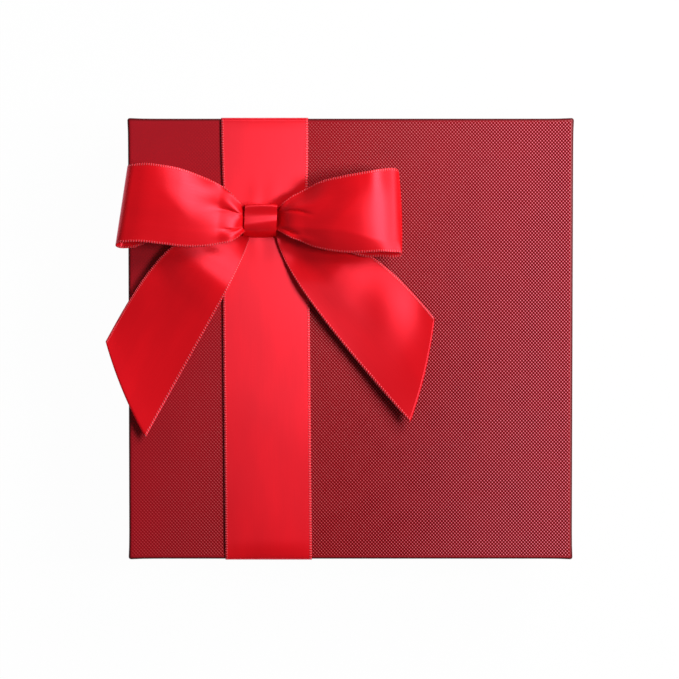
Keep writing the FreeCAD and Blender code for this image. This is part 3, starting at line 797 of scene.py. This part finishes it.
# Each tail's edges as Bezier points and its rise by share of its length, in millimetres, from the height of
# the foot. A swell is its place along, length, place across, width and height. Lie is where across the tail
# it is low and where it is up, and the low edge's share of the rise. Cut is how far the end bulges, and
# order turns the columns so that the right side is up.
TAIL_FOOT = 33.85
TAILS = {
    "left": {
        "inner": ((-28.6, 31.0), (-30.6, 22.0), (-37.2, 11.5), (-59.2, -28.3)),
        "outer": ((-28.6, 35.5), (-50.0, 34.0), (-57.6, 23.2), (-70.6, -0.5)),
        "rise": (
            (0, 0), (0.20, 0.05), (0.30, 0.75), (0.40, 2.3), (0.48, 3.0), (0.55, 2.6), (0.65, 1.2),
            (0.75, 0.1), (0.87, -0.6), (0.95, -0.3), (1, 0.3),
        ),
        "swells": ((0.60, 0.07, 0.92, 0.20, -0.5),),
        "early": 0.0, "lie": (1.0, 0.45, 0.35), "cut": (-0.83, -0.34), "order": 1,
    },
    "right": {
        "inner": ((-21.6, 31.0), (-20.6, 21.5), (-8.9, 5.5), (17.2, -23.9)),
        "outer": ((-22.6, 35.5), (-8.0, 34.0), (8.0, 27.0), (24.2, 6.2)),
        "rise": (
            (0, 0), (0.20, -0.15), (0.34, 0.0), (0.44, 1.35), (0.52, 2.3), (0.58, 2.35), (0.68, 1.7),
            (0.80, 1.1), (0.90, 1.0), (1, 1.6),
        ),
        "swells": (
            (0.80, 0.10, 0.70, 0.26, 1.05), (0.31, 0.09, 0.22, 0.22, -0.4), (0.33, 0.08, 0.80, 0.25, 1.2),
        ),
        "early": 0.13, "lie": (0.0, 0.70, 0.45), "cut": (0.87, -0.22), "order": -1,
    },
}


def tail_surface(form, bow, width):
    """A tail of ribbon ruled between two curved edges, whose slanted end is cut a little round. Its height
    is a smooth curve through a few heights: it climbs to an arch, sinks again and curls up at the end. The
    climb comes early at the inner edge and is lower along the edge away from the light. Swells, each the
    product of two bell curves, a low arch across and pleats at the knot are added."""
    along = np.linspace(0, 1, 141)
    across = np.linspace(0, 1, 45)[None, :, None]
    inner = bezier(form["inner"], along)[:, None, :]
    outer = bezier(form["outer"], along)[:, None, :]
    plan = inner * (1 - across) + outer * across
    t = along[:, None]
    v = across[..., 0]
    plan = plan + np.array(form["cut"]) * (4 * v * (1 - v) * t**6)[..., None]
    ahead = t + form["early"] * (1 - smooth(0.0, 0.4, v)) * 4 * t * (1 - t)
    low, firm, lie = form["lie"]
    lie = lie + (1 - lie) * smooth(0.72, 1.0, t)
    arch = through(form["rise"], ahead) * (lie + (1 - lie) * smooth(low, firm, v))
    for at, long, side, wide, high in form["swells"]:
        arch = arch + high * hump(t, at, long) * hump(v, side, wide)
    roll = bow.tail_arch / MM * np.sin(np.pi * v) * smooth(0.1, 0.5, t)
    pleat = 0.5 * np.cos(np.pi * 3 * v) * np.exp(-t / 0.13)
    z = TAIL_FOOT + arch + roll + pleat
    points, flat = np.concatenate([plan, z[..., None]], axis=-1), width * (v - 0.5)
    return laid_flat(points[:, ::form["order"]], flat[:, ::form["order"]])


class BOX_OT_shape_tails(bpy.types.Operator):
    """Shapes the two tails of the bow, each cut on the slant"""

    bl_idname = "chocolate_box.shape_tails"
    bl_label = "Shape bow tails"

    def execute(self, context):
        under = ["bow_knot", "ribbon_band", "lid_wrap"]
        bow_pieces(context.scene, "tail", TAILS, tail_surface, under)
        return {"FINISHED"}


# The knot's side view in millimetres, from the back to the front. Then how far its dip runs on a slant, its
# shift to the left and its gap over the band.
KNOT_SIDE = (
    (4.5, 0.0), (5.1, 3.4), (5.4, 6.6), (5.1, 7.25), (4.1, 6.95), (2.8, 6.50), (1.4, 6.40), (0.1, 6.50),
    (-1.2, 6.10), (-2.4, 5.2), (-3.4, 3.8), (-4.2, 2.0), (-4.6, 0.0),
)
KNOT_SLANT, KNOT_SHIFT, KNOT_GAP = 0.45, 0.3, 0.15


def knot_surface():
    """Ribbon folded narrow and wrapped over the middle of the bow: its side view is a smooth curve through
    a few points, upright at the back, with a shallow dip on top that runs on a slant, and steep at the
    front. Its corners are drawn in."""
    middle, width = knot_mid / MM, (knot_high - knot_low)[0] / MM
    place, side, rise = curve_through(KNOT_SIDE, 145)
    across = np.linspace(-1, 1, 49)[None, :]
    slant = place[:, None] + KNOT_SLANT * across * hump(place, 7.0, 2.2)[:, None]
    side, rise = eased(side, 15)[:, None], np.interp(slant, place, eased(rise, 15))
    pull = 1 - 0.06 * np.abs(across) ** 3
    arch = np.clip(rise / 6.7, 0, 1)
    waist = width / 2 * (0.98 - 0.05 * arch)
    x = middle[0] - KNOT_SHIFT + waist * across + 0.05 * side * arch
    y = middle[1] + side * pull
    z = band_high[2] / MM + KNOT_GAP + rise * pull
    return *laid_flat(columns(x, y, z), waist * across), width


class BOX_OT_wrap_knot(bpy.types.Operator):
    """Wraps the short folded ribbon round the middle of the bow"""

    bl_idname = "chocolate_box.wrap_knot"
    bl_label = "Wrap bow knot"

    def execute(self, context):
        points, cover, run, width = knot_surface()
        points = seen_from_above(points, context.scene.box_stage)
        flat = (1.05 * width * MM, run * MM)
        ribbon_piece("satin_knot", "bow_knot", points[::-1], cover[::-1], flat, "folded", ["ribbon_band"])
        return {"FINISHED"}


# The pad, in millimetres: how far its lower and its upper outline lie inside its box and its seam's height.
# Then the shares of paper to spare, of pull between the corners and of the corners rounded off.
PAD_INSET, ROOF_INSET, PAD_SEAM = 1.5, 0.5, 1.25
PAD_SPARE, PAD_PULL, PAD_ROUND = 0.012, 0.007, 0.022
PUFF_FRAMES = 14
PUFF = {
    "mass": 0.2, "tension_stiffness": 20, "compression_stiffness": 20, "shear_stiffness": 8,
    "bending_stiffness": 0.1, "vertex_group_mass": "seams", "use_pressure": True,
    "uniform_pressure_force": 5, "shrink_min": -PAD_SPARE,
}


def puffed_sheet(half, squares, cells):
    """A flat sheet with a little more paper than its outline, held along the lines of a square quilting and
    blown downwards by cloth simulation, worked out in centimetres. Gives the points, rows by columns, in
    millimetres."""
    way = np.linspace(-1, 1, cells + 1)
    y, x = np.meshgrid(way * half[1] / 10, way * half[0] / 10, indexing="ij")
    bulge = np.abs(np.sin(np.pi * squares * (way + 1) / 2))
    z = -0.03 * np.outer(bulge, bulge)
    faces = quads(np.arange(x.size).reshape(x.shape))[:, [0, 3, 2, 1]]
    mesh = bpy.data.meshes.new("puffed_sheet")
    mesh.from_pydata(columns(x, y, z).reshape(-1, 3), [], faces.tolist())
    obj = linked(bpy.data.objects.new("puffed_sheet", mesh))
    line = np.arange(cells + 1) % (cells // squares) == 0
    held = obj.vertex_groups.new(name="seams")
    held.add(np.flatnonzero((line[:, None] | line[None, :]).ravel()).tolist(), 1.0, "REPLACE")
    cloth = obj.modifiers.new("puff", "CLOTH")
    for name, value in PUFF.items():
        setattr(cloth.settings, name, value)
    cloth.settings.effector_weights.gravity = 0
    cloth.collision_settings.use_collision = False
    scene = bpy.context.scene
    for step in range(1, PUFF_FRAMES + 1):
        scene.frame_set(step)
    blown = obj.evaluated_get(bpy.context.evaluated_depsgraph_get()).data
    points = np.zeros(len(blown.vertices) * 3, np.float32)
    blown.vertices.foreach_get("co", points)
    bpy.data.objects.remove(obj)
    bpy.data.meshes.remove(mesh)
    scene.frame_set(1)
    return points.reshape(cells + 1, cells + 1, 3).astype(float) * 10


def quilted_pad(name, squares=5, cells=100):
    """A quilted pad: a puffed lower sheet, a flat upper sheet and a wall between their outlines that swells
    out halfway. The sides pull in a little between the corners, and the corners are rounded off."""
    middle, half = (pad_low + pad_high) / 2 / MM, (pad_high - pad_low)[:2] / 2 / MM
    foot, roof = pad_low[2] / MM, pad_high[2] / MM
    seam = foot + PAD_SEAM
    lower = puffed_sheet(half - PAD_INSET, squares, cells)
    lower[..., 2] = np.maximum(seam + lower[..., 2], foot - 0.1)
    upper = lower * np.append((half - ROOF_INSET) / (half - PAD_INSET), 0) + np.array([0, 0, roof])
    rim = np.linspace(-1, 1, cells + 1)[:-1]
    ring = np.concatenate([columns(rim, -1), columns(1, rim), columns(-rim, 1), columns(-1, -rim)])
    way = np.linspace(0, 1, 9)
    inset = PAD_INSET * (1 - smooth(0, 0.55, way)) + ROOF_INSET * smooth(0.6, 1, way)
    outline = ring * (half - inset[:, None])[:, None]
    wall = columns(*outline.T, seam + (roof - seam) * way).swapaxes(0, 1)
    grid = np.arange((cells + 1) ** 2).reshape(cells + 1, cells + 1)
    lap = np.arange(len(way) * len(ring)).reshape(len(way), len(ring))
    points = np.concatenate([sheet.reshape(-1, 3) for sheet in (lower, upper, wall)])
    side = quads(np.c_[lap, lap[:, 0]]) + 2 * grid.size
    faces = np.concatenate([quads(grid), quads(grid) + grid.size, side])
    u, v = (points[:, :2] / half).T
    round_off = 1 - PAD_ROUND * (np.abs(u) * np.abs(v)) ** 9
    for axis, near, far in ((0, u, v), (1, v, u)):
        pull = 1 - PAD_PULL * np.cos(np.pi / 2 * far) * near**2
        points[:, axis] = middle[axis] + points[:, axis] * round_off * pull
    return merged(piece(name, points, faces.tolist()), 1e-5)


class BOX_OT_quilt_pad(bpy.types.Operator):
    """Quilts the paper pad inside the lid"""

    bl_idname = "chocolate_box.quilt_pad"
    bl_label = "Quilt lid pad"

    def execute(self, context):
        white = plain_paper("white_pad_paper", (0.74, 0.71, 0.65), (0.82, 0.79, 0.73), 90, 0.7, 0.02)
        obj = quilted_pad("quilted_pad")
        dress(obj, white)
        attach(obj, "lid")
        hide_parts("lid_cushion_pad")
        return {"FINISHED"}


# Boards and papers by a word in their nodes' names: material, two tones, clouds, roughness and relief
STOCKS = {
    "board": ("grey_board", (0.29, 0.26, 0.21), (0.37, 0.33, 0.27), 130, 0.85, 0.03),
    "stays": ("kraft_tape", (0.55, 0.46, 0.34), (0.64, 0.55, 0.42), 200, 0.6, 0.01),
    "liner": ("cream_lining", (0.76, 0.72, 0.63), (0.83, 0.79, 0.71), 80, 0.7, 0.01),
    "bottom_sheet": ("wine_bottom_paper", (0.20, 0.011, 0.017), (0.26, 0.014, 0.021), 100, 0.6, 0.01),
    "divider": ("cream_card", (0.64, 0.55, 0.41), (0.72, 0.63, 0.48), 110, 0.75, 0.02),
}


class BOX_OT_finish_boards(bpy.types.Operator):
    """Finishes the boards, linings, tapes and dividers"""

    bl_idname = "chocolate_box.finish_boards"
    bl_label = "Finish boards and linings"

    def execute(self, context):
        for word, stock in STOCKS.items():
            dress_all(word, plain_paper(*stock))
        return {"FINISHED"}


class BOX_OT_pleat_cups(bpy.types.Operator):
    """Finishes the pleated paper cups"""

    bl_idname = "chocolate_box.pleat_cups"
    bl_label = "Pleat paper cups"

    def execute(self, context):
        dress_all("candy_cup", cup_paper())
        return {"FINISHED"}


def circle_through(first, second, third):
    """Centre and radius of the circle through three points."""
    points = np.array([first, second, third], float)
    sums = np.linalg.solve(np.c_[2 * points, np.ones(3)], (points**2).sum(axis=1))
    return sums[:2], np.sqrt(sums[2] + (sums[:2] ** 2).sum())


def square_outline(turn, _):
    """Rounded square: a superellipse of the fourth power."""
    return (np.cos(turn) ** 4 + np.sin(turn) ** 4) ** -0.25


FLUTE = 0.075  # depth of the scallops as a share of the radius


def fluted_outline(turn, reach):
    """Round with sixteen scallops, which swirl as they near the middle of the top."""
    swirl = 1.1 * (1 - np.clip(reach / 0.66, 0, 1))
    return 1 - FLUTE * (1 - np.abs(np.cos(8 * (turn + swirl))) ** 0.8)


def heart_outline(turn, _):
    """Heart of two arcs a side, one round the lobe and one down to the tip, by where a ray from the
    middle meets their circles."""
    x, y = np.abs(np.cos(turn)), np.sin(turn)
    reach = []
    for arc in (((0, 0.42), (0.42, 0.78), (0.84, 0.33)), ((0.84, 0.33), (0.64, -0.32), (0, -0.97))):
        centre, radius = circle_through(*arc)
        along = x * centre[0] + y * centre[1]
        reach.append(along + np.sqrt(np.maximum(along**2 - (centre**2).sum() + radius**2, 0)))
    return np.where(y * 0.84 > x * 0.33, *reach)


# Each mould's side from the middle of its foot to the middle of its top, as shares of reach and of height
MOULDS = {
    "square": {
        "outline": square_outline,
        "side": (
            (0, 0), (0.5, 0), (0.93, 0), (0.975, 0.02), (0.99, 0.08), (1, 0.3), (0.995, 0.6), (0.985, 0.75),
            (0.955, 0.85), (0.90, 0.91), (0.82, 0.935), (0.6, 0.945), (0.3, 0.95), (0, 0.95),
        ),
    },
    "fluted": {
        "outline": fluted_outline,
        "side": (
            (0, 0), (0.5, 0), (0.95, 0), (0.99, 0.015), (1, 0.06), (0.975, 0.3), (0.94, 0.5), (0.90, 0.68),
            (0.84, 0.84), (0.76, 0.94), (0.66, 0.985), (0.45, 0.995), (0.2, 1.0), (0, 1.0),
        ),
    },
    "heart": {
        "outline": heart_outline,
        "side": (
            (0, 0), (0.5, 0), (0.93, 0), (0.975, 0.02), (0.995, 0.1), (1, 0.4), (0.99, 0.68), (0.96, 0.81),
            (0.90, 0.885), (0.80, 0.91), (0.74, 0.925), (0.71, 0.965), (0.64, 0.99), (0.4, 1.0), (0, 1.0),
        ),
    },
}


HEART_HALF, HEART_TOP = 0.841, 0.78  # half width and top of the heart as it is drawn
# The bars on a square sweet: their gap and half length as shares of its half width, and their rise as one
# of its height. Then, in millimetres, the bars' width and the depth of the swirls on a fluted one.
BAR_GAP, BAR_HALF, BAR_RISE = 0.52, 0.62, 0.05
BAR_WIDE, SWIRL_DEPTH = 0.75, 0.6


def moulded(name, node, kind):
    """A sweet on a polar grid: its side is a smooth curve through a few points, and its outline scales with
    it. A square one has three rounded bars across its top, each a bell curve, and the swirls of a fluted
    one are cut into its top."""
    low, high = (corner / MM for corner in corners(node))
    middle, (wide, _, tall) = (low + high) / 2, high - low
    half = scale = wide / 2
    if kind == "heart":
        scale = half / HEART_HALF
        middle[1] = high[1] - HEART_TOP * scale
    place, reach, rise = curve_through(MOULDS[kind]["side"], 79)
    reach, rise = reach[:, None], rise[:, None]
    whole = np.linspace(0, 2 * np.pi, 289)[None, :]
    turn = whole[:, :-1]
    outline = MOULDS[kind]["outline"](turn, reach)
    out = scale * np.clip(reach, 0, 1) * outline
    x, y = out * np.cos(turn), out * np.sin(turn)
    z = low[2] + tall * np.clip(rise, 0, 1)
    above = smooth(0.86, 0.93, rise)
    if kind == "square":
        ends = smooth(BAR_HALF * half + 0.7, BAR_HALF * half - 0.7, np.abs(y))
        bars = sum(hump(x, bar * BAR_GAP * half, BAR_WIDE) for bar in (-1, 0, 1))
        z = z + BAR_RISE * tall * above * bars * ends
    if kind == "fluted":
        z = z - SWIRL_DEPTH * above * smooth(0.04, 0.4, reach) * (1 - outline) / FLUTE
    points = columns(middle[0] + x, middle[1] + y, z)
    cover = columns(whole * scale, place[:, None])
    return merged(surface(name, points, cover, closed=True), 1e-5)


# Dark and light tone of each kind of chocolate, by its slot
CHOCOLATES = {
    "dark_chocolate": ((0.026, 0.010, 0.006), (0.036, 0.014, 0.008)),
    "milk_chocolate": ((0.115, 0.043, 0.019), (0.145, 0.055, 0.025)),
    "ruby_chocolate": ((0.38, 0.085, 0.095), (0.45, 0.115, 0.125)),
}


class BOX_OT_mould_sweets(bpy.types.Operator):
    """Moulds the nine sweets in dark, milk and ruby chocolate"""

    bl_idname = "chocolate_box.mould_sweets"
    bl_label = "Mould sweets"

    def execute(self, context):
        shells = {slot: chocolate(f"{slot}_shell", *tones) for slot, tones in CHOCOLATES.items()}
        for part in frame["record"]["subparts"]:
            node, slot = part["node"], part["material_slot"]
            if slot not in shells:
                continue
            kind = node.split("_")[1]
            if kind in MOULDS:
                obj = moulded(node.replace("chocolate", "sweet"), node, kind)
                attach(obj, "base")
                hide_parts(node)
            else:
                obj = frame["nodes"][node]
            dress(obj, shells[slot])
        return {"FINISHED"}


def white_stage(name, strength):
    """Pale floor that the camera, and gloss, see as near white, with the object's shadow left on it."""
    nodes = Nodes(name, "MixShader")
    rays = nodes.add("LightPath").outputs
    seen = nodes.maths("MAXIMUM", rays["Is Camera Ray"], rays["Is Glossy Ray"])
    seen = nodes.maths("MAXIMUM", seen, rays["Is Transmission Ray"])
    lit = nodes.add("BsdfDiffuse", color=(0.9, 0.9, 0.9, 1))
    glow = nodes.add("Emission", color=(1, 1, 1, 1))
    nodes.feed(nodes.shader, nodes.times(seen, strength), lit.outputs[0], glow.outputs[0])
    return nodes.owner


def white_surround(name, fill):
    """A surround that the camera sees as white, and that lights the box with the fill's strength."""
    nodes = Nodes(name, "MixShader", "World")
    seen = nodes.add("LightPath").outputs["Is Camera Ray"]
    backs = (nodes.add("Background", color=(1, 1, 1, 1), strength=level) for level in (fill, 1.0))
    nodes.feed(nodes.shader, seen, *(back.outputs[0] for back in backs))
    return nodes.owner


# Half the floor's width and its gap under the box in millimetres, and each lamp's place and size in metres
FLOOR_HALF, FLOOR_GAP = 3000, 0.05
LAMPS = {"key": ((0.28, 0.31, 0.385), (0.24, 0.24)), "side": ((0.42, 0.035, 0.52), (0.15, 0.22))}


class BOX_OT_set_stage(bpy.types.Operator):
    """Sets the floor, the lamps, the white surround and the camera"""

    bl_idname = "chocolate_box.set_stage"
    bl_label = "Set stage"

    def execute(self, context):
        scene = context.scene
        settings = scene.box_stage
        reach = np.linspace(-FLOOR_HALF, FLOOR_HALF, 3)
        y, x = np.meshgrid(reach, reach, indexing="ij")
        points = columns(x, y, -FLOOR_GAP)
        floor = surface("pale_floor", points, points[..., :2], material=white_stage("pale_floor", 0.98))
        scene.world = white_surround("white_surround", settings.fill)
        for name, (place, size) in LAMPS.items():
            self.lamp(f"{name}_lamp", place, size, getattr(settings, name))
        self.camera(scene, settings)
        scene.view_settings.view_transform = "Standard"
        return {"FINISHED"}

    def lamp(self, name, place, size, watts):
        light = bpy.data.lights.new(name, "AREA")
        light.shape = "RECTANGLE"
        light.size, light.size_y = size
        light.energy = watts
        lamp = linked(bpy.data.objects.new(name, light))
        lamp.location = place
        aim = Vector((0, 0, lid_high[2])) - Vector(place)
        lamp.rotation_euler = aim.to_track_quat("-Z", "Y").to_euler()

    def camera(self, scene, settings):
        data = bpy.data.cameras.new("camera")
        data.sensor_width = 36
        data.lens = data.sensor_width * settings.distance / settings.frame_width
        data.clip_end = 20
        camera = linked(bpy.data.objects.new("camera", data))
        aim = Vector((settings.aim_x, 0, lid_high[2]))
        back = Vector((0, np.sin(settings.lean), np.cos(settings.lean)))
        camera.location = aim + back * settings.distance
        camera.rotation_euler = (-settings.lean, 0, 0)
        scene.camera = camera


STEPS = (
    BOX_OT_set_stage, BOX_OT_wrap_papers, BOX_OT_lay_band, BOX_OT_shape_loops, BOX_OT_shape_tails,
    BOX_OT_wrap_knot, BOX_OT_quilt_pad, BOX_OT_finish_boards, BOX_OT_pleat_cups, BOX_OT_mould_sweets,
)
GROUPS = {
    "box_paper": PaperSettings, "box_satin": SatinSettings, "box_bow": BowSettings,
    "box_stage": StageSettings,
}


class BOX_PT_dressing(bpy.types.Panel):
    """Lists the settings and steps of the chocolate box"""

    bl_idname = "BOX_PT_dressing"
    bl_label = "Chocolate Box"
    bl_space_type = "VIEW_3D"
    bl_region_type = "UI"
    bl_category = "Box"

    def draw(self, context):
        for group in GROUPS:
            column = self.layout.column(align=True)
            settings = getattr(context.scene, group)
            for name in settings.__annotations__:
                column.prop(settings, name)
        for step in STEPS:
            self.layout.operator(step.bl_idname)


CLASSES = (*GROUPS.values(), *STEPS, BOX_PT_dressing)


def register():
    for kind in CLASSES:
        bpy.utils.register_class(kind)
    for name, kind in GROUPS.items():
        setattr(bpy.types.Scene, name, bpy.props.PointerProperty(type=kind))


def unregister():
    for name in GROUPS:
        delattr(bpy.types.Scene, name)
    for kind in reversed(CLASSES):
        bpy.utils.unregister_class(kind)


def main():
    register()
    for step in STEPS:
        group, name = step.bl_idname.split(".")
        getattr(getattr(bpy.ops, group), name)()


if __name__ == "__main__":
    main()
